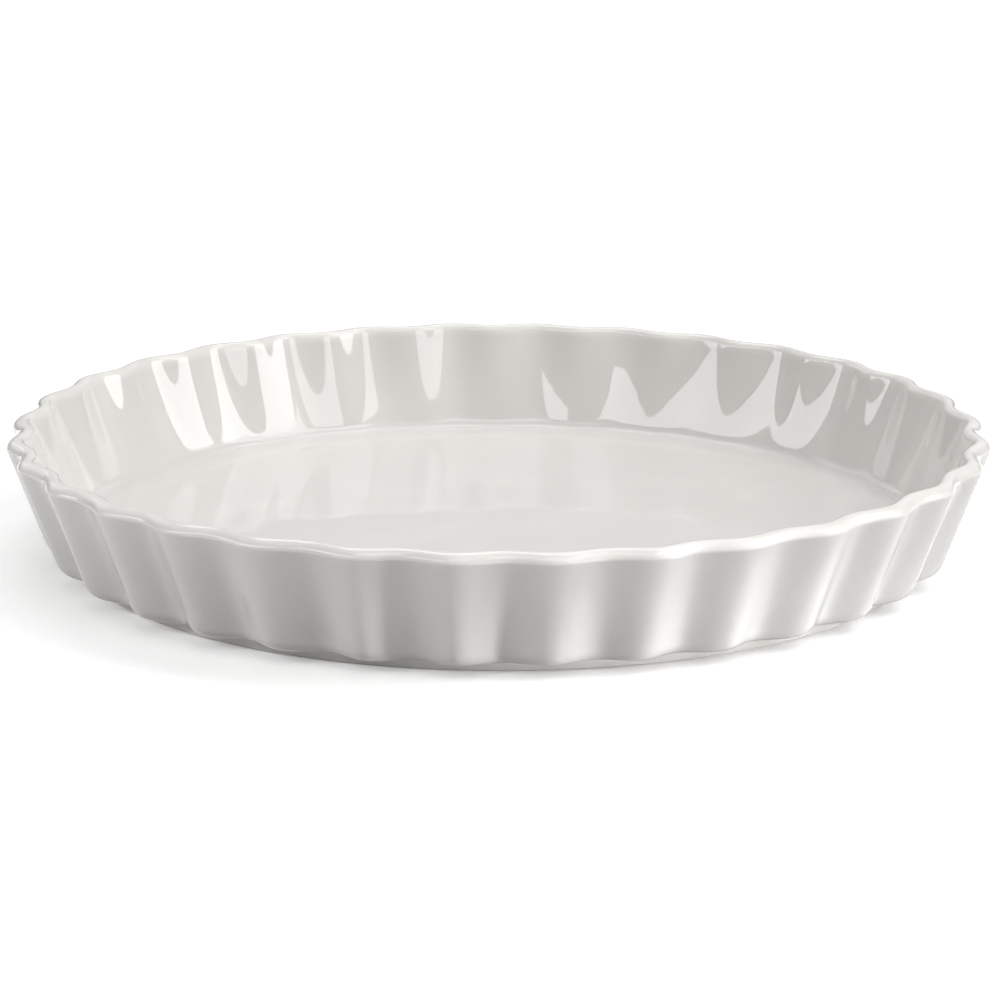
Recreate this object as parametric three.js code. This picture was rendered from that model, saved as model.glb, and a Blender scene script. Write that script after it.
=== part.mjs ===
// Round fluted baking dish in white glazed stoneware. Millimetres, +Z up.
// The origin is on the table under the middle of the dish, and a flute valley faces -Y.
import * as THREE from 'three';
import { mergeGeometries } from 'three/addons/utils/BufferGeometryUtils.js';

// Overall size
const RIM_DIAMETER = 320; // across opposite flute crests
const HEIGHT = 43; // table to the top of the rim

// Wall and rim
const RIM_THICKNESS = 5.2;
const WALL_LEAN = 21; // degrees, outside of the wall from the vertical
const WALL_TAPER = 4.5; // degrees, extra lean of the inside, which thickens the wall downwards
const HEEL_RADIUS = 8; // rounded edge between the wall and its underside

// Flutes, and their depth from crest to valley on both faces of the wall
const FLUTE_COUNT = 32;
const FLUTE_AT_BASE = 4; // under the heel, where the flutes end above the foot ring
const FLUTE_AT_HEEL = 5.8;
const FLUTE_AT_RIM = 4.2;
const FLUTE_INSIDE_RIM = 3.4;
const FLUTE_AT_COVE = 1.8; // fading to nothing where the cove meets the floor

// Floor and foot
const FLOOR_THICKNESS = 7.9;
const COVE_RADIUS = 5; // hollow between the wall and the floor
const FOOT_HEIGHT = 3.4; // table to the underside of the heel
const FOOT_RECESS = 1.6; // table to the underside inside the foot ring
const FOOT_WIDTH = 8;
const FOOT_SETBACK = 0.4; // flute valleys under the heel to the side of the foot ring
const FOOT_BEVEL = 0.6;

// Glaze
const GLAZE_THICKNESS = 0.5;
const GLAZE_CLEARANCE = 0.3; // glaze to clay
const BARE_FOOT = 0.9; // table to the lower edge of the glaze on the side of the foot ring

// Facets
const STEPS_PER_FLUTE = 6;
const UNDERSIDE_STEPS = 96;
const GLAZE_ARC_STEPS = 2;
const CLAY_ARC_STEPS = 1;
const COVE_STEPS = 2;

const outerLean = THREE.MathUtils.degToRad(WALL_LEAN);
const innerLean = THREE.MathUtils.degToRad(WALL_LEAN + WALL_TAPER);
const rimRadius = RIM_THICKNESS / 2;
const floorHeight = FOOT_RECESS + FLOOR_THICKNESS;
const clayDepth = GLAZE_THICKNESS + GLAZE_CLEARANCE;

// Section through a flute crest, x outwards and y up: the centres of the three rounded corners.
// The wall's two faces are the straight lines that touch the rim and the heel, and the rim and the cove.
const rim = new THREE.Vector2(RIM_DIAMETER / 2 - rimRadius, HEIGHT - rimRadius);

const heel = new THREE.Vector2(0, FOOT_HEIGHT + HEEL_RADIUS);
heel.x = rim.x + (rimRadius - HEEL_RADIUS - (rim.y - heel.y) * Math.sin(outerLean)) / Math.cos(outerLean);

const cove = new THREE.Vector2(0, floorHeight + COVE_RADIUS);
cove.x = rim.x - (rimRadius + COVE_RADIUS + (rim.y - cove.y) * Math.sin(innerLean)) / Math.cos(innerLean);

const footRadius = heel.x - FLUTE_AT_BASE - FOOT_SETBACK;
const bareFootRadius = footRadius - clayDepth;
const footInnerRadius = bareFootRadius - FOOT_WIDTH;

// A point of a section. The depth of the flutes there travels with it as the third value.
function sectionPoint(radius, height, fluteDepth = 0) {
  return new THREE.Vector3(radius, height, fluteDepth);
}

// A rounded corner of a section, with angles from +x, on which the flutes change depth evenly.
function arc(centre, radius, angles, fluteDepths, steps) {
  const points = [];
  for (let step = 0; step <= steps; step += 1) {
    const share = step / steps;
    const angle = THREE.MathUtils.lerp(...angles, share);
    const x = centre.x + radius * Math.cos(angle);
    const y = centre.y + radius * Math.sin(angle);
    points.push(sectionPoint(x, y, THREE.MathUtils.lerp(...fluteDepths, share)));
  }
  return points;
}

// The dish's surface at a depth below the glaze's face: foot, heel, wall, rim, inside wall, cove and floor.
function surface(depth, arcSteps) {
  const down = -Math.PI / 2;
  const up = Math.PI / 2;
  const heelFlutes = [FLUTE_AT_BASE, FLUTE_AT_HEEL];
  const rimFlutes = [FLUTE_AT_RIM, FLUTE_INSIDE_RIM];
  const insideFlutes = [FLUTE_INSIDE_RIM, FLUTE_INSIDE_RIM];
  const coveFlutes = [FLUTE_AT_COVE, 0];
  return [
    sectionPoint(footRadius - depth, FOOT_HEIGHT + depth),
    ...arc(heel, HEEL_RADIUS - depth, [down, -outerLean], heelFlutes, arcSteps),
    ...arc(rim, rimRadius - depth, [-outerLean, up], rimFlutes, arcSteps),
    ...arc(rim, rimRadius - depth, [up, Math.PI - innerLean], insideFlutes, arcSteps).slice(1),
    ...arc(cove, COVE_RADIUS + depth, [-innerLean, down], coveFlutes, COVE_STEPS),
    sectionPoint(0, floorHeight - depth),
  ];
}

// Turns a section round the dish's axis and presses the flutes into it.
function flutedLathe(section, columns = FLUTE_COUNT * STEPS_PER_FLUTE) {
  const profile = section.map((point) => new THREE.Vector2(point.x, point.y));
  const geometry = new THREE.LatheGeometry(profile, columns);
  const position = geometry.attributes.position;
  for (let index = 0; index < position.count; index += 1) {
    const point = section[index % section.length];
    const turn = (Math.floor(index / section.length) / columns) * 2 * Math.PI;
    const valley = (1 + Math.cos(FLUTE_COUNT * turn)) / 2;
    const radius = point.x - point.z * valley;
    position.setX(index, radius * Math.sin(turn));
    position.setZ(index, radius * Math.cos(turn));
  }
  geometry.rotateX(Math.PI / 2);
  geometry.computeVertexNormals();
  return geometry;
}

// Fired clay: bare on the foot ring's bearing face and its edges, glazed everywhere else.
function stonewareBody() {
  const undersideHeight = FOOT_RECESS + clayDepth;
  return flutedLathe([
    sectionPoint(0, undersideHeight),
    sectionPoint(footInnerRadius, undersideHeight),
    sectionPoint(footInnerRadius + FOOT_BEVEL, 0),
    sectionPoint(bareFootRadius - FOOT_BEVEL, 0),
    ...surface(clayDepth, CLAY_ARC_STEPS),
  ]);
}

// The coat over the outside, the rim and the inside, which ends low on the side of the foot ring.
// Its back is turned from the same lathe as the clay, so the two stay parallel between the flutes.
function glazeCoat() {
  const edge = sectionPoint(footRadius - GLAZE_THICKNESS, BARE_FOOT);
  const face = flutedLathe([edge, sectionPoint(footRadius, BARE_FOOT), ...surface(0, GLAZE_ARC_STEPS)]);
  const back = flutedLathe([edge, ...surface(GLAZE_THICKNESS, GLAZE_ARC_STEPS)]);
  back.index.array.reverse();
  const coat = mergeGeometries([face, back]);
  coat.computeVertexNormals();
  return coat;
}

// The round of glaze inside the foot ring.
function undersideGlaze() {
  const edgeRadius = footInnerRadius - GLAZE_CLEARANCE;
  const section = [
    sectionPoint(0, FOOT_RECESS),
    sectionPoint(edgeRadius, FOOT_RECESS),
    sectionPoint(edgeRadius, FOOT_RECESS + GLAZE_THICKNESS),
    sectionPoint(0, FOOT_RECESS + GLAZE_THICKNESS),
  ];
  return flutedLathe(section, UNDERSIDE_STEPS);
}

function piece(name, geometry, look) {
  const mesh = new THREE.Mesh(geometry, new THREE.MeshStandardMaterial(look));
  mesh.name = name;
  return mesh;
}

const bareClay = { color: 0xdad2c6, roughness: 0.85, metalness: 0 };
const whiteGlaze = { color: 0xe5e4e0, roughness: 0.08, metalness: 0 };

const dish = new THREE.Group();
dish.add(piece('stoneware_body', stonewareBody(), bareClay));
dish.add(piece('glaze_coat', glazeCoat(), whiteGlaze));
dish.add(piece('underside_glaze', undersideGlaze(), whiteGlaze));

export default dish;
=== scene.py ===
"""A round fluted baking dish in white glazed stoneware, on a pale studio floor. Metres, +Z up."""
import math

import bpy
import numpy as np
from mathutils import Matrix, Quaternion, Vector


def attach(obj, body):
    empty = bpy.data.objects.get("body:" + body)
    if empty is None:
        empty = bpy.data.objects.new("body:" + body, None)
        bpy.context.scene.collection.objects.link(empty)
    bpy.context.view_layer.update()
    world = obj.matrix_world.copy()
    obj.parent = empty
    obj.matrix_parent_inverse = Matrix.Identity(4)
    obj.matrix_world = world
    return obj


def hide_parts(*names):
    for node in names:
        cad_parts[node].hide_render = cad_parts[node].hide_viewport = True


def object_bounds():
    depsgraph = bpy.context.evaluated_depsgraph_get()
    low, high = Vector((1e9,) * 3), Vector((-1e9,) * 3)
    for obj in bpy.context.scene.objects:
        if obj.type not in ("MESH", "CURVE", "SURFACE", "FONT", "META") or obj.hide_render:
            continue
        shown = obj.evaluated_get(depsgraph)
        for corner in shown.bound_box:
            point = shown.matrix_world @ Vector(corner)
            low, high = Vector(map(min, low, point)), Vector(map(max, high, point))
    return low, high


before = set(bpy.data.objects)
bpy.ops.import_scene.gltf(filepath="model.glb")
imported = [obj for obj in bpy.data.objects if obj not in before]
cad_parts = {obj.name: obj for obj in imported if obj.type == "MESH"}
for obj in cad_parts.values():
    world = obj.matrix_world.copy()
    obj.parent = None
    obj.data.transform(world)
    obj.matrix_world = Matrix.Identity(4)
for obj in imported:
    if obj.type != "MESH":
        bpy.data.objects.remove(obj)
cad_low, cad_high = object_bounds()

MM = 0.001

# Size of the dish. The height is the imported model's own.
RIM_DIAMETER = 320 * MM  # across opposite flute crests
HEIGHT = cad_high.z
WALL_LEAN = math.radians(21)  # outside of the wall from the vertical
WALL_TAPER = math.radians(2.4)  # extra lean of the inside
HEEL_RADIUS = 8 * MM  # rounded edge between the wall and its underside
FLOOR_THICKNESS = 7.9 * MM
COVE_RADIUS = 5 * MM  # hollow between the wall and the floor
FOOT_HEIGHT = 3.4 * MM  # table to the underside of the heel
FOOT_RECESS = 1.6 * MM  # table to the underside inside the foot ring
FOOT_WIDTH = 8 * MM
FOOT_SETBACK = 0.4 * MM  # flute valleys under the heel to the side of the foot ring
FOOT_EDGE_RADIUS = 0.6 * MM  # edges of the foot ring's bearing face
FOOT_FILLET = 0.35 * MM  # hollow between the foot ring and the heel
GLAZE_THICKNESS = 0.5 * MM
GLAZE_CLEARANCE = 0.3 * MM  # glaze to clay
BARE_FOOT = 0.5 * MM  # table to the lower edge of the glaze

# The lip is broadly rounded over its top, turns tightly into the wall outside and less so inside
LIP_TOP_RADIUS = 4.2 * MM
LIP_EDGE_RADIUS = 1.2 * MM
LIP_EDGE_ANGLE = math.radians(25)  # above the horizontal, where the tight turn meets the top
LIP_INSIDE_RADIUS = 2.5 * MM

# Flutes, and their depth from crest to valley
FLUTE_COUNT = 32
FLUTE_AT_BASE = 4 * MM
FLUTE_AT_HEEL = 5.8 * MM
FLUTE_AT_RIM = 3.2 * MM
FLUTE_INSIDE_RIM = 2.8 * MM
FLUTE_AT_COVE = 0.5 * MM

# The flutes are rounded at the rim and inside, and turn into flatter-sided pleats down the outside
PLEAT = 0.55  # 0 is as round as at the rim, and 1 has straight sides

# How far the wall's inside leans from its mean at the rim and at the cove, which makes it slightly hollow
WALL_BOW = math.radians(4)

# The faint ring in the floor, inside which the floor lies a little lower
FLOOR_RING = 126 * MM
FLOOR_RING_WIDTH = 4 * MM
FLOOR_DIP = 0.3 * MM

# Unevenness of a pressed and fired piece. The orders are numbers of waves round the dish.
SEED = 11
OUT_OF_ROUND = 0.25 * MM
OUT_OF_ROUND_ORDERS = range(2, 6)
FLUTE_DRIFT = 0.12  # radians of a flute's wave
FLUTE_DRIFT_ORDERS = range(3, 12)
FLUTE_VARIATION = 0.05  # share of a flute's depth
FLUTE_VARIATION_ORDERS = range(3, 14)
RIPPLE_HEIGHT = 0.02 * MM
RIPPLE_LENGTHS = (16 * MM, 42 * MM)
RIPPLE_WAVES = 28

# Shares of the glaze's tone, from 0, the paler painted highlight along the rim, to 1 where the glaze has
# pooled
HIGHLIGHT_AND_POOL = "highlight_and_pool"
# Painted highlight: the top of the rim takes the paler tone, which fades out below it
RIM_HIGHLIGHT = 0.05
RIM_HIGHLIGHT_DOWN_TO = 2.4 * MM  # below the top of the rim
RIM_HIGHLIGHT_FADE = 1.2 * MM  # from there to where it is as deep as on the wall
# The crests take a little of the painted highlight, and the valleys a deeper tone where the glaze pools
CREST_HIGHLIGHT = 0.35
POOLED_VALLEY = 0.7
EVEN = 0.5

# Mesh steps
STEPS_PER_FLUTE = 19
COLUMNS = FLUTE_COUNT * STEPS_PER_FLUTE
ARC_STEPS = 10
EDGE_STEPS = 6
WALL_STEPS = 15
RING_STEPS = 12
FLOOR_STEPS = 18
BEAD_STEPS = 6
BACK_STRIDE = 3  # rings of the glaze's face to each ring of its hidden back

# Angles in a section, from straight outwards
UP = math.pi / 2
INWARDS = math.pi
DOWN = -math.pi / 2
FULL_TURN = 2 * math.pi

inner_lean = WALL_LEAN + WALL_TAPER
floor_height = FOOT_RECESS + FLOOR_THICKNESS
clay_depth = GLAZE_THICKNESS + GLAZE_CLEARANCE

# Section through a flute crest, x outwards and y up: the centres of its rounded corners.
# The wall's two faces touch the lip and the heel, and the lip and the cove.
rim_radius = RIM_DIAMETER / 2
edge_direction = Vector((math.cos(LIP_EDGE_ANGLE), math.sin(LIP_EDGE_ANGLE)))
top_to_edge = (LIP_TOP_RADIUS - LIP_EDGE_RADIUS) * edge_direction
lip_edge = Vector((rim_radius - LIP_EDGE_RADIUS, HEIGHT - LIP_TOP_RADIUS + top_to_edge.y))
lip_top = lip_edge - top_to_edge
lip_inside = Vector((lip_top.x, HEIGHT - LIP_INSIDE_RADIUS))

heel = Vector((0, FOOT_HEIGHT + HEEL_RADIUS))
heel_drop = (lip_edge.y - heel.y) * math.sin(WALL_LEAN)
heel.x = lip_edge.x + (LIP_EDGE_RADIUS - HEEL_RADIUS - heel_drop) / math.cos(WALL_LEAN)

cove = Vector((0, floor_height + COVE_RADIUS))
cove_drop = (lip_inside.y - cove.y) * math.sin(inner_lean)
cove.x = lip_inside.x - (LIP_INSIDE_RADIUS + COVE_RADIUS + cove_drop) / math.cos(inner_lean)

foot_radius = heel.x - FLUTE_AT_BASE - FOOT_SETBACK
bare_foot_radius = foot_radius - clay_depth
foot_inner_radius = bare_foot_radius - FOOT_WIDTH

random = np.random.default_rng(SEED)
turn = np.linspace(0, FULL_TURN, COLUMNS, endpoint=False)


def wander(orders):
    """A smooth random curve round the dish, made of the given numbers of waves."""
    curve = np.zeros(COLUMNS)
    for order in orders:
        curve += random.normal() * np.cos(order * turn + random.uniform(0, FULL_TURN))
    return curve / math.sqrt(len(orders))


out_of_round = OUT_OF_ROUND * wander(OUT_OF_ROUND_ORDERS)
drift = FLUTE_DRIFT * wander(FLUTE_DRIFT_ORDERS)
gain = 1 + FLUTE_VARIATION * wander(FLUTE_VARIATION_ORDERS)
wave = np.cos(FLUTE_COUNT * turn + drift)
valley = gain * (1 + wave) / 2
pleated_valley = gain * (1 + np.arcsin(PLEAT * wave) / math.asin(PLEAT)) / 2


def arc(centre, radius, start, end, flutes=(0, 0), steps=ARC_STEPS):
    """A rounded corner of a section: rows of radius, height and flute depth."""
    share = np.linspace(0, 1, steps + 1)
    angle = start + (end - start) * share
    depth = flutes[0] + (flutes[1] - flutes[0]) * share
    return np.stack([centre.x + radius * np.cos(angle), centre.y + radius * np.sin(angle), depth], 1)


def between(start, end, steps, bow=0):
    """The rows between two rows of a section, without its ends, on a line or on a shallow hollow."""
    share = np.linspace(0, 1, steps + 1)[1:-1, None]
    rows = start * (1 - share) + end * share
    across, rise = (end - start)[:2]
    rows[:, :2] += share * (1 - share) * math.tan(bow) * np.array([-rise, across])
    return rows


def floor_rows(depth):
    """The floor from the cove to the middle, with its faint ring."""
    past_ring = FLOOR_RING - FLOOR_RING_WIDTH
    near = np.linspace(cove.x, past_ring, RING_STEPS + 1)[1:]
    far = np.linspace(past_ring, 0, FLOOR_STEPS + 1)[1:]
    radius = np.concatenate([near, far])
    inside = np.clip((FLOOR_RING + FLOOR_RING_WIDTH / 2 - radius) / FLOOR_RING_WIDTH, 0, 1)
    dip = FLOOR_DIP * inside * inside * (3 - 2 * inside)
    return np.stack([radius, floor_height - depth - dip, np.zeros_like(radius)], 1)


def dish_section(depth):
    """The surface at a depth below the glaze's face, from the foot ring to the middle of the floor."""
    heel_flutes = (FLUTE_AT_BASE, FLUTE_AT_HEEL)
    edge_flutes = (FLUTE_AT_RIM, FLUTE_AT_RIM)
    top_flutes = (FLUTE_AT_RIM, FLUTE_INSIDE_RIM)
    inside_flutes = (FLUTE_INSIDE_RIM, FLUTE_INSIDE_RIM)
    cove_flutes = (FLUTE_AT_COVE, 0)
    inside_start = INWARDS - inner_lean + WALL_BOW
    inside_end = -inner_lean - WALL_BOW
    foot_corner = Vector((foot_radius + FOOT_FILLET, FOOT_HEIGHT - FOOT_FILLET))
    heel_arc = arc(heel, HEEL_RADIUS - depth, DOWN, -WALL_LEAN, heel_flutes)
    edge_arc = arc(lip_edge, LIP_EDGE_RADIUS - depth, -WALL_LEAN, LIP_EDGE_ANGLE, edge_flutes, EDGE_STEPS)
    inside_arc = arc(lip_inside, LIP_INSIDE_RADIUS - depth, UP, inside_start, inside_flutes)
    cove_arc = arc(cove, COVE_RADIUS + depth, inside_end, DOWN, cove_flutes)
    return np.concatenate([
        arc(foot_corner, FOOT_FILLET + depth, INWARDS, UP),
        heel_arc,
        between(heel_arc[-1], edge_arc[0], WALL_STEPS),
        edge_arc,
        arc(lip_top, LIP_TOP_RADIUS - depth, LIP_EDGE_ANGLE, UP, top_flutes)[1:],
        inside_arc[1:],
        between(inside_arc[-1], cove_arc[0], WALL_STEPS, WALL_BOW),
        cove_arc,
        floor_rows(depth),
    ])


def turned(section):
    """Turns a section round the axis, with the flutes in it, into rings of points."""
    radius, height, flute = (section[:, column, None] for column in range(3))
    pleated = np.clip((flute - FLUTE_AT_RIM) / (FLUTE_AT_HEEL - FLUTE_AT_RIM), 0, 1)
    inset = flute * (valley + (pleated_valley - valley) * pleated)
    ring = radius - inset + out_of_round * radius / rim_radius
    return np.stack([ring * np.sin(turn), -ring * np.cos(turn), np.broadcast_to(height, ring.shape)], -1)


def outward(section):
    """The direction out of the surface at each point of the rings that a section is turned into."""
    along = np.gradient(section[:, :2], axis=0)
    along /= np.linalg.norm(along, axis=1, keepdims=True)
    away, up = along[:, 1, None], -along[:, 0, None]
    return np.stack([away * np.sin(turn), -away * np.cos(turn), np.repeat(up, COLUMNS, axis=1)], -1)


def ripples(points):
    """Slight waves through the fired surface, the same through its whole thickness."""
    height = np.zeros(points.shape[:2])
    for _ in range(RIPPLE_WAVES):
        heading = random.normal(size=3)
        heading *= FULL_TURN / np.linalg.norm(heading) / random.uniform(*RIPPLE_LENGTHS)
        height += np.cos(points @ heading + random.uniform(0, FULL_TURN))
    return RIPPLE_HEIGHT * height / math.sqrt(RIPPLE_WAVES)


# The ripples push each point of the glaze's face in or out. Its last ring is one point, on the axis.
face_section = dish_section(0)
swell = ripples(turned(face_section))[..., None] * outward(face_section)
swell[-1] = swell[-1].mean(axis=0)


def dish_surface(depth):
    """The rings of points at a depth below the glaze's face."""
    return turned(dish_section(depth)) + swell


def new_piece(name, rings, highlight_and_pool=None):
    """One closed surface through rings of points, in order. Rings on the axis become one point."""
    index = np.arange(rings.shape[0] * rings.shape[1]).reshape(rings.shape[:2])
    on_axis = np.ptp(rings, axis=1).max(axis=1) == 0
    index[on_axis] = index[on_axis, :1]
    used, index = np.unique(index, return_inverse=True)
    index = index.reshape(rings.shape[:2])
    beside = np.roll(index, -1, axis=1)
    quads = np.stack([index[:-1], beside[:-1], beside[1:], index[1:]], -1).reshape(-1, 4)
    faces = [tuple(dict.fromkeys(corners)) for corners in quads.tolist()]
    mesh = bpy.data.meshes.new(name)
    mesh.from_pydata(rings.reshape(-1, 3)[used].tolist(), [], faces)
    mesh.polygons.foreach_set("use_smooth", [True] * len(mesh.polygons))
    mesh.update()
    if highlight_and_pool is not None:
        mesh.attributes.new(HIGHLIGHT_AND_POOL, "FLOAT", "POINT").data.foreach_set("value", highlight_and_pool.reshape(-1)[used])
    piece = bpy.data.objects.new(name, mesh)
    bpy.context.scene.collection.objects.link(piece)
    return piece


def bead(radius, height, start, end):
    """The rounded edge of a glazed area, within the given outer radius and above the given height."""
    half = GLAZE_THICKNESS / 2
    return turned(arc(Vector((radius - half, height + half)), half, start, end, steps=BEAD_STEPS))


def glaze_highlight_and_pool():
    """The share of the glaze's tone at each point of its face, from 0 for the paler painted highlight along
    the rim to 1 where it has pooled.
    """
    radius, height, flute = (face_section[:, column, None] for column in range(3))
    # Crests a little paler, a painted highlight, and valleys deeper, where the glaze pools
    fluted = CREST_HIGHLIGHT + (POOLED_VALLEY - CREST_HIGHLIGHT) * valley
    highlight_and_pool = np.where(flute > 0, fluted, EVEN)
    # The painted highlight along the top of the rim
    below_rim = np.clip((HEIGHT - height - RIM_HIGHLIGHT_DOWN_TO) / RIM_HIGHLIGHT_FADE, 0, 1)
    from_cove = np.hypot(radius - cove.x, height - floor_height) / COVE_RADIUS
    return np.maximum(RIM_HIGHLIGHT + (highlight_and_pool - RIM_HIGHLIGHT) * below_rim, np.exp(-from_cove ** 2))


def glaze_coat():
    """The coat over the outside, the rim and the inside, with a bead along its edge at the foot."""
    back = dish_surface(GLAZE_THICKNESS)
    back = np.concatenate([back[:-1:BACK_STRIDE], back[-1:]])[::-1]
    foot_bead = bead(foot_radius, BARE_FOOT, INWARDS, FULL_TURN)
    highlight_and_pool = np.concatenate([np.full(back.shape[:2], EVEN), np.ones(foot_bead.shape[:2]), glaze_highlight_and_pool()])
    return new_piece("glaze", np.concatenate([back, foot_bead, dish_surface(0)]), highlight_and_pool)


def clay_body():
    """The fired clay: its recessed underside, the foot ring and all that the glaze covers."""
    underside_height = FOOT_RECESS + clay_depth
    inner_edge = Vector((foot_inner_radius + FOOT_EDGE_RADIUS, FOOT_EDGE_RADIUS))
    outer_edge = Vector((bare_foot_radius - FOOT_EDGE_RADIUS, FOOT_EDGE_RADIUS))
    foot = np.concatenate([
        [[0, underside_height, 0], [foot_inner_radius, underside_height, 0]],
        arc(inner_edge, FOOT_EDGE_RADIUS, INWARDS, FULL_TURN + DOWN, steps=BEAD_STEPS),
        arc(outer_edge, FOOT_EDGE_RADIUS, DOWN, 0, steps=BEAD_STEPS),
    ])
    return new_piece("clay", np.concatenate([turned(foot), dish_surface(clay_depth)]))


def underside_glaze():
    """The round of glaze inside the foot ring."""
    edge_bead = bead(foot_inner_radius - GLAZE_CLEARANCE, FOOT_RECESS, DOWN, UP)
    low = turned(np.array([[0, FOOT_RECESS, 0]]))
    high = turned(np.array([[0, FOOT_RECESS + GLAZE_THICKNESS, 0]]))
    rings = np.concatenate([low, edge_bead, high])
    return new_piece("underside", rings, np.full(rings.shape[:2], EVEN))


# Glaze. Clouds, specks and bumps are counted to the metre, and a speck's radius is a share of its spacing.
GLAZE_COLOUR = (0.785, 0.767, 0.742)
# The paler tone is a painted highlight, on the rim and a little on the crests
GLAZE_HIGHLIGHT = (0.87, 0.848, 0.818)
GLAZE_POOLED = (0.765, 0.745, 0.722)
GLAZE_CLOUDS = 34
GLAZE_CLOUD_DEPTH = (-0.16, 0.16)
GLAZE_SPECK = (0.5, 0.46, 0.4)
GLAZE_SPECKS = 210
GLAZE_SPECK_RADIUS = 0.055
GLAZE_SPECK_RARITY = 0.9
GLAZE_SPECK_SHARE = 0.35
GLAZE_SHEEN_CLOUDS = 70
GLAZE_ROUGHNESS = (0.02, 0.045)
UNDERSIDE_ROUGHNESS = (0.05, 0.11)
GLAZE_BUMPS = 240
GLAZE_BUMP_DETAIL = 1.0
GLAZE_BUMP = 0.04
GLAZE_BUMP_HEIGHT = 0.1 * MM

# Clay, counted in the same way. The toasted line runs along the edges of the bare foot ring.
CLAY_COLOUR = (0.7, 0.645, 0.565)
CLAY_DARK = (0.64, 0.575, 0.485)
CLAY_PALE = (0.75, 0.7, 0.63)
CLAY_CLOUDS = 120
CLAY_CLOUD_DETAIL = 5.0
CLAY_TOASTED = (0.6, 0.51, 0.41)
CLAY_TOASTED_LINE = 1.2 * MM
CLAY_TOASTED_CLOUDS = 260
CLAY_TOASTED_SHARE = (0.2, 0.8)
CLAY_SPECK = (0.3, 0.22, 0.16)
CLAY_SPECKS = 900
CLAY_SPECK_RADIUS = 0.3
CLAY_SPECK_RARITY = 0.86
CLAY_ROUGHNESS_CLOUDS = 300
CLAY_ROUGHNESS = (0.78, 0.95)
CLAY_GRAINS = 1400
CLAY_GRAIN_DETAIL = 4.0
CLAY_BUMP = 0.5
CLAY_BUMP_HEIGHT = 0.2 * MM

# Octaves of a cloudy pattern, and the part of the noise's range that most of it lies in
CLOUD_DETAIL = 3.0
NOISE_RANGE = (0.3, 0.7)

# Sockets of a mix node that carry colours
MIX_FIRST = 6
MIX_SECOND = 7
MIX_RESULT = 2


def add_node(tree, kind, inputs=None, **settings):
    """A shader node. Its inputs are values, or the sockets of other nodes that they are linked to."""
    node = tree.nodes.new(kind)
    for name, value in settings.items():
        setattr(node, name, value)
    for socket, value in (inputs or {}).items():
        if isinstance(value, bpy.types.NodeSocket):
            tree.links.new(value, node.inputs[socket])
        else:
            node.inputs[socket].default_value = value
    return node


def principled(name):
    material = bpy.data.materials.new(name)
    material.use_nodes = True
    tree = material.node_tree
    return material, tree, tree.nodes["Principled BSDF"]


def object_place(tree):
    return add_node(tree, "ShaderNodeTexCoord").outputs["Object"]


def combined(tree, operation, first, second):
    return add_node(tree, "ShaderNodeMath", {0: first, 1: second}, operation=operation).outputs[0]


def length(tree, vector):
    return add_node(tree, "ShaderNodeVectorMath", {0: vector}, operation="LENGTH").outputs["Value"]


def ranged(tree, value, old, new=(0, 1), **settings):
    """A value carried from one range to another, and held at its ends."""
    ends = {"From Min": old[0], "From Max": old[1], "To Min": new[0], "To Max": new[1]}
    return add_node(tree, "ShaderNodeMapRange", {"Value": value, **ends}, **settings).outputs["Result"]


def coloured(tree, share, stops):
    """A colour that runs through the given colours as a share goes from 0 to 1."""
    ramp = add_node(tree, "ShaderNodeValToRGB", {"Fac": share})
    elements = ramp.color_ramp.elements
    for order, colour in enumerate(stops):
        place = order / (len(stops) - 1)
        stop = elements[order] if order < len(elements) else elements.new(place)
        stop.position = place
        stop.color = (*colour, 1)
    return ramp.outputs["Color"]


def mixed(tree, share, first, second):
    """A colour between a colour socket and a plain colour."""
    inputs = {"Factor": share, MIX_FIRST: first, MIX_SECOND: (*second, 1)}
    return add_node(tree, "ShaderNodeMix", inputs, data_type="RGBA").outputs[MIX_RESULT]


def mottled(tree, place, scale, span=(0, 1), detail=CLOUD_DETAIL):
    """Cloudy variation over a span of values. Scale is in clouds to the metre."""
    noise = add_node(tree, "ShaderNodeTexNoise", {"Vector": place, "Scale": scale, "Detail": detail})
    return ranged(tree, noise.outputs["Fac"], NOISE_RANGE, span)


def specks(tree, place, scale, radius, rarity):
    """Small round specks in a few of the cells of a random pattern: 1 in a speck and 0 elsewhere."""
    cells = add_node(tree, "ShaderNodeTexVoronoi", {"Vector": place, "Scale": scale})
    close = combined(tree, "LESS_THAN", cells.outputs["Distance"], radius)
    chance = add_node(tree, "ShaderNodeSeparateColor", {"Color": cells.outputs["Color"]})
    chosen = combined(tree, "GREATER_THAN", chance.outputs["Red"], rarity)
    return combined(tree, "MULTIPLY", close, chosen)


def bumped(tree, shader, height, strength, distance):
    bump = add_node(tree, "ShaderNodeBump", {"Height": height, "Strength": strength, "Distance": distance})
    tree.links.new(bump.outputs["Normal"], shader.inputs["Normal"])


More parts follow.
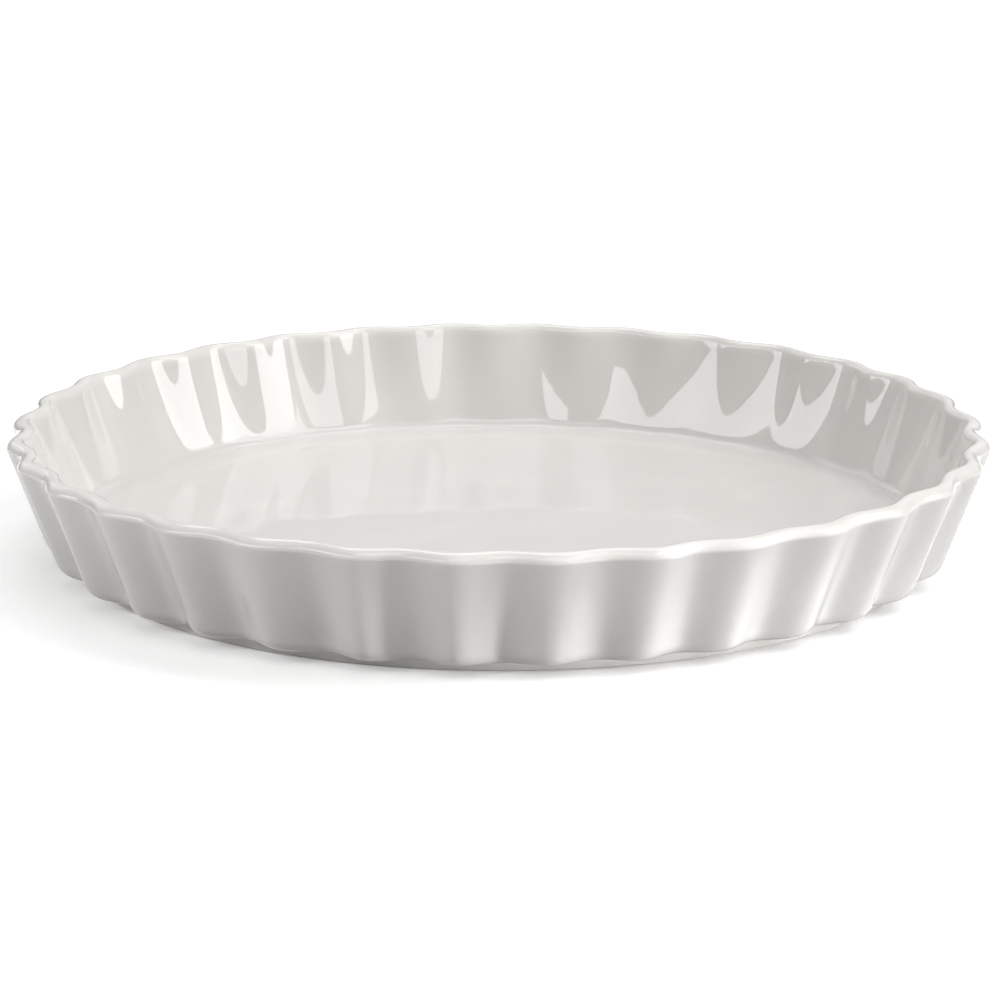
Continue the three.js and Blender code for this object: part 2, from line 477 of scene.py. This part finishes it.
def glaze_material(name, roughness):
    """Glossy off-white glaze: paler on the rim and the crests, a painted highlight, deeper where it pools,
    faintly clouded and specked.
    """
    material, tree, shader = principled(name)
    place = object_place(tree)
    highlight_and_pool = add_node(tree, "ShaderNodeAttribute", attribute_name=HIGHLIGHT_AND_POOL).outputs["Fac"]
    # The tone carries the painted highlight along the rim and the crests, and the pooled glaze, with clouds
    # over them
    depth = combined(tree, "ADD", highlight_and_pool, mottled(tree, place, GLAZE_CLOUDS, GLAZE_CLOUD_DEPTH))
    colour = coloured(tree, depth, (GLAZE_HIGHLIGHT, GLAZE_COLOUR, GLAZE_POOLED))
    spots = specks(tree, place, GLAZE_SPECKS, GLAZE_SPECK_RADIUS, GLAZE_SPECK_RARITY)
    spots = combined(tree, "MULTIPLY", spots, GLAZE_SPECK_SHARE)
    tree.links.new(mixed(tree, spots, colour, GLAZE_SPECK), shader.inputs["Base Color"])
    tree.links.new(mottled(tree, place, GLAZE_SHEEN_CLOUDS, roughness), shader.inputs["Roughness"])
    bumps = mottled(tree, place, GLAZE_BUMPS, detail=GLAZE_BUMP_DETAIL)
    bumped(tree, shader, bumps, GLAZE_BUMP, GLAZE_BUMP_HEIGHT)
    return material


def clay_material(name):
    """Matt bare clay: sandy grain, clouded colour, dark iron specks and a browner line beside the glaze."""
    material, tree, shader = principled(name)
    place = object_place(tree)
    clouds = mottled(tree, place, CLAY_CLOUDS, detail=CLAY_CLOUD_DETAIL)
    colour = coloured(tree, clouds, (CLAY_DARK, CLAY_COLOUR, CLAY_PALE))
    flat = add_node(tree, "ShaderNodeVectorMath", {0: place, 1: (1, 1, 0)}, operation="MULTIPLY")
    half = FOOT_WIDTH / 2
    from_middle = combined(tree, "SUBTRACT", length(tree, flat.outputs[0]), bare_foot_radius - half)
    from_middle = combined(tree, "ABSOLUTE", from_middle, 0)
    toasted = ranged(tree, from_middle, (half - CLAY_TOASTED_LINE, half))
    patches = mottled(tree, place, CLAY_TOASTED_CLOUDS, CLAY_TOASTED_SHARE)
    colour = mixed(tree, combined(tree, "MULTIPLY", toasted, patches), colour, CLAY_TOASTED)
    spots = specks(tree, place, CLAY_SPECKS, CLAY_SPECK_RADIUS, CLAY_SPECK_RARITY)
    tree.links.new(mixed(tree, spots, colour, CLAY_SPECK), shader.inputs["Base Color"])
    roughness = mottled(tree, place, CLAY_ROUGHNESS_CLOUDS, CLAY_ROUGHNESS)
    tree.links.new(roughness, shader.inputs["Roughness"])
    grains = mottled(tree, place, CLAY_GRAINS, detail=CLAY_GRAIN_DETAIL)
    bumped(tree, shader, grains, CLAY_BUMP, CLAY_BUMP_HEIGHT)
    return material


glaze = glaze_coat()
clay = clay_body()
underside = underside_glaze()
glaze.data.materials.append(glaze_material("white_glaze", GLAZE_ROUGHNESS))
underside.data.materials.append(glaze_material("underside_glaze", UNDERSIDE_ROUGHNESS))
clay.data.materials.append(clay_material("bare_clay"))

for piece, node, slot in (
    (glaze, "glaze_coat", "white_glaze"),
    (clay, "stoneware_body", "bare_clay"),
    (underside, "underside_glaze", "underside_glaze"),
):
    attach(piece, "root")
    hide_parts(node)

# Studio floor. What the camera and reflections see of it is white away from the dish and keeps its shadow
# near it, and what light bounces off is a plain pale floor.
FLOOR_SIZE = 12.0
FLOOR_DROP = 0.05 * MM
FLOOR_BOUNCE = 0.43
FLOOR_SHADED = 0.95
FLOOR_GLOW = (0.32, 0.95)  # beside the dish and far from it
GLOW_REACH = (0.22, 0.6)  # radii between which the glow rises

# Lamps. A rectangular lamp of one unit of radiance takes this many watts to the square metre.
WATTS_PER_RADIANCE = 4
WORLD_LEVEL = 0.015


def grey(level):
    return (level, level, level, 1)


def direction(azimuth, elevation):
    """A direction out from the dish. Azimuth is from the front (-Y) towards the right (+X)."""
    return Vector((
        math.sin(azimuth) * math.cos(elevation),
        -math.cos(azimuth) * math.cos(elevation),
        math.sin(elevation),
    ))


def studio_floor():
    bpy.ops.mesh.primitive_plane_add(size=FLOOR_SIZE, location=(0, 0, -FLOOR_DROP))
    floor = bpy.context.object
    floor.name = "studio_floor"
    material = bpy.data.materials.new("studio_floor")
    material.use_nodes = True
    tree = material.node_tree
    tree.nodes.clear()
    path = add_node(tree, "ShaderNodeLightPath").outputs
    seen = combined(tree, "MAXIMUM", path["Is Camera Ray"], path["Is Glossy Ray"])
    seen = combined(tree, "MAXIMUM", seen, path["Is Transmission Ray"])
    away = length(tree, object_place(tree))
    glow = ranged(tree, away, GLOW_REACH, FLOOR_GLOW, interpolation_type="SMOOTHSTEP")
    bounce = add_node(tree, "ShaderNodeBsdfDiffuse", {"Color": grey(FLOOR_BOUNCE)})
    shaded = add_node(tree, "ShaderNodeBsdfDiffuse", {"Color": grey(FLOOR_SHADED)})
    glowing = add_node(tree, "ShaderNodeEmission", {"Strength": glow})
    white = add_node(tree, "ShaderNodeAddShader", {0: shaded.outputs[0], 1: glowing.outputs[0]})
    choice = add_node(tree, "ShaderNodeMixShader", {"Fac": seen, 1: bounce.outputs[0], 2: white.outputs[0]})
    add_node(tree, "ShaderNodeOutputMaterial", {"Surface": choice.outputs[0]})
    floor.data.materials.append(material)


def softbox(name, azimuth, elevation, distance, size, radiance, roll=0, aim=(0, 0, 0), spread=180):
    """A rectangular lamp, with its angles in degrees."""
    lamp = bpy.data.lights.new(name, "AREA")
    lamp.shape = "RECTANGLE"
    lamp.size, lamp.size_y = size
    lamp.energy = WATTS_PER_RADIANCE * size[0] * size[1] * radiance
    lamp.spread = math.radians(spread)
    holder = bpy.data.objects.new(name, lamp)
    holder.location = direction(math.radians(azimuth), math.radians(elevation)) * distance
    holder.rotation_mode = "QUATERNION"
    facing = (Vector(aim) - holder.location).to_track_quat("-Z", "Y")
    holder.rotation_quaternion = facing @ Quaternion((0, 0, 1), math.radians(roll))
    bpy.context.scene.collection.objects.link(holder)


def studio_light():
    """Softboxes all round, and low strips at both sides that bring out the flutes of the front wall."""
    low_right = {"azimuth": 67, "elevation": 1.2, "distance": 1.05, "size": (0.12, 0.04), "spread": 24}
    softbox("overhead", azimuth=180, elevation=62, distance=1.8, size=(1.2, 0.8), radiance=2.3)
    softbox("top_front", azimuth=0, elevation=60, distance=1.8, size=(1.0, 0.8), radiance=1.8)
    softbox("back", azimuth=180, elevation=20, distance=2.0, size=(2.4, 0.8), radiance=0.45)
    softbox("right_softbox", azimuth=83, elevation=23, distance=1.8, size=(0.75, 0.75), radiance=4.4)
    softbox("right_high", azimuth=82, elevation=50, distance=1.8, size=(1.1, 1.0), radiance=2.6)
    softbox("right_strip", radiance=14.5, aim=(-0.07, -0.173, -0.13), **low_right)
    softbox("right_low", radiance=7.5, aim=(0.16, -0.09, -0.13), **low_right)
    softbox("left_window", azimuth=-64, elevation=33, distance=2.0, size=(2.5, 0.38), radiance=3.5, roll=20)
    softbox("left_strip", azimuth=-60, elevation=1.0, distance=1.3, size=(3.6, 0.04), radiance=8.5)
    softbox("back_left", azimuth=-140, elevation=30, distance=2.0, size=(1.0, 0.9), radiance=0.75)
    softbox("front_right", azimuth=42, elevation=29, distance=2.0, size=(0.5, 0.75), radiance=2.85)
    world = bpy.data.worlds.new("studio")
    world.use_nodes = True
    world.node_tree.nodes["Background"].inputs["Color"].default_value = grey(WORLD_LEVEL)
    bpy.context.scene.world = world


# Camera, fitted to the photograph's rim: it looks at the middle of the rim plane from CAMERA_DISTANCE,
# and that point falls on the pixel RIM_MIDDLE_PIXEL of a square frame of FRAME_PIXELS.
# The sensor and the lens are in millimetres.
FRAME_PIXELS = 1000
SENSOR = 36.0
LENS = 199.8
CAMERA_DISTANCE = 1.808
CAMERA_TURN = math.radians(-0.69)
CAMERA_RISE = math.radians(13.77)
CAMERA_ROLL = math.radians(0.23)
RIM_MIDDLE_PIXEL = (498.5, 428.1)


def photo_camera():
    away = direction(CAMERA_TURN, CAMERA_RISE)
    pixel = SENSOR / FRAME_PIXELS / LENS
    across = math.atan((RIM_MIDDLE_PIXEL[0] - FRAME_PIXELS / 2) * pixel)
    down = math.atan((RIM_MIDDLE_PIXEL[1] - FRAME_PIXELS / 2) * pixel)
    facing = (-away).to_track_quat("-Z", "Y").to_matrix()
    facing = facing @ Matrix.Rotation(across, 3, "Y") @ Matrix.Rotation(down, 3, "X")
    facing = facing @ Matrix.Rotation(CAMERA_ROLL, 3, "Z")
    data = bpy.data.cameras.new("camera")
    data.sensor_width = SENSOR
    data.lens = LENS
    camera = bpy.data.objects.new("camera", data)
    placed = facing.to_4x4()
    placed.translation = Vector((0, 0, HEIGHT)) + away * CAMERA_DISTANCE
    camera.matrix_world = placed
    bpy.context.scene.collection.objects.link(camera)
    bpy.context.scene.camera = camera


studio_floor()
studio_light()
photo_camera()
bpy.context.scene.view_settings.view_transform = "Standard"
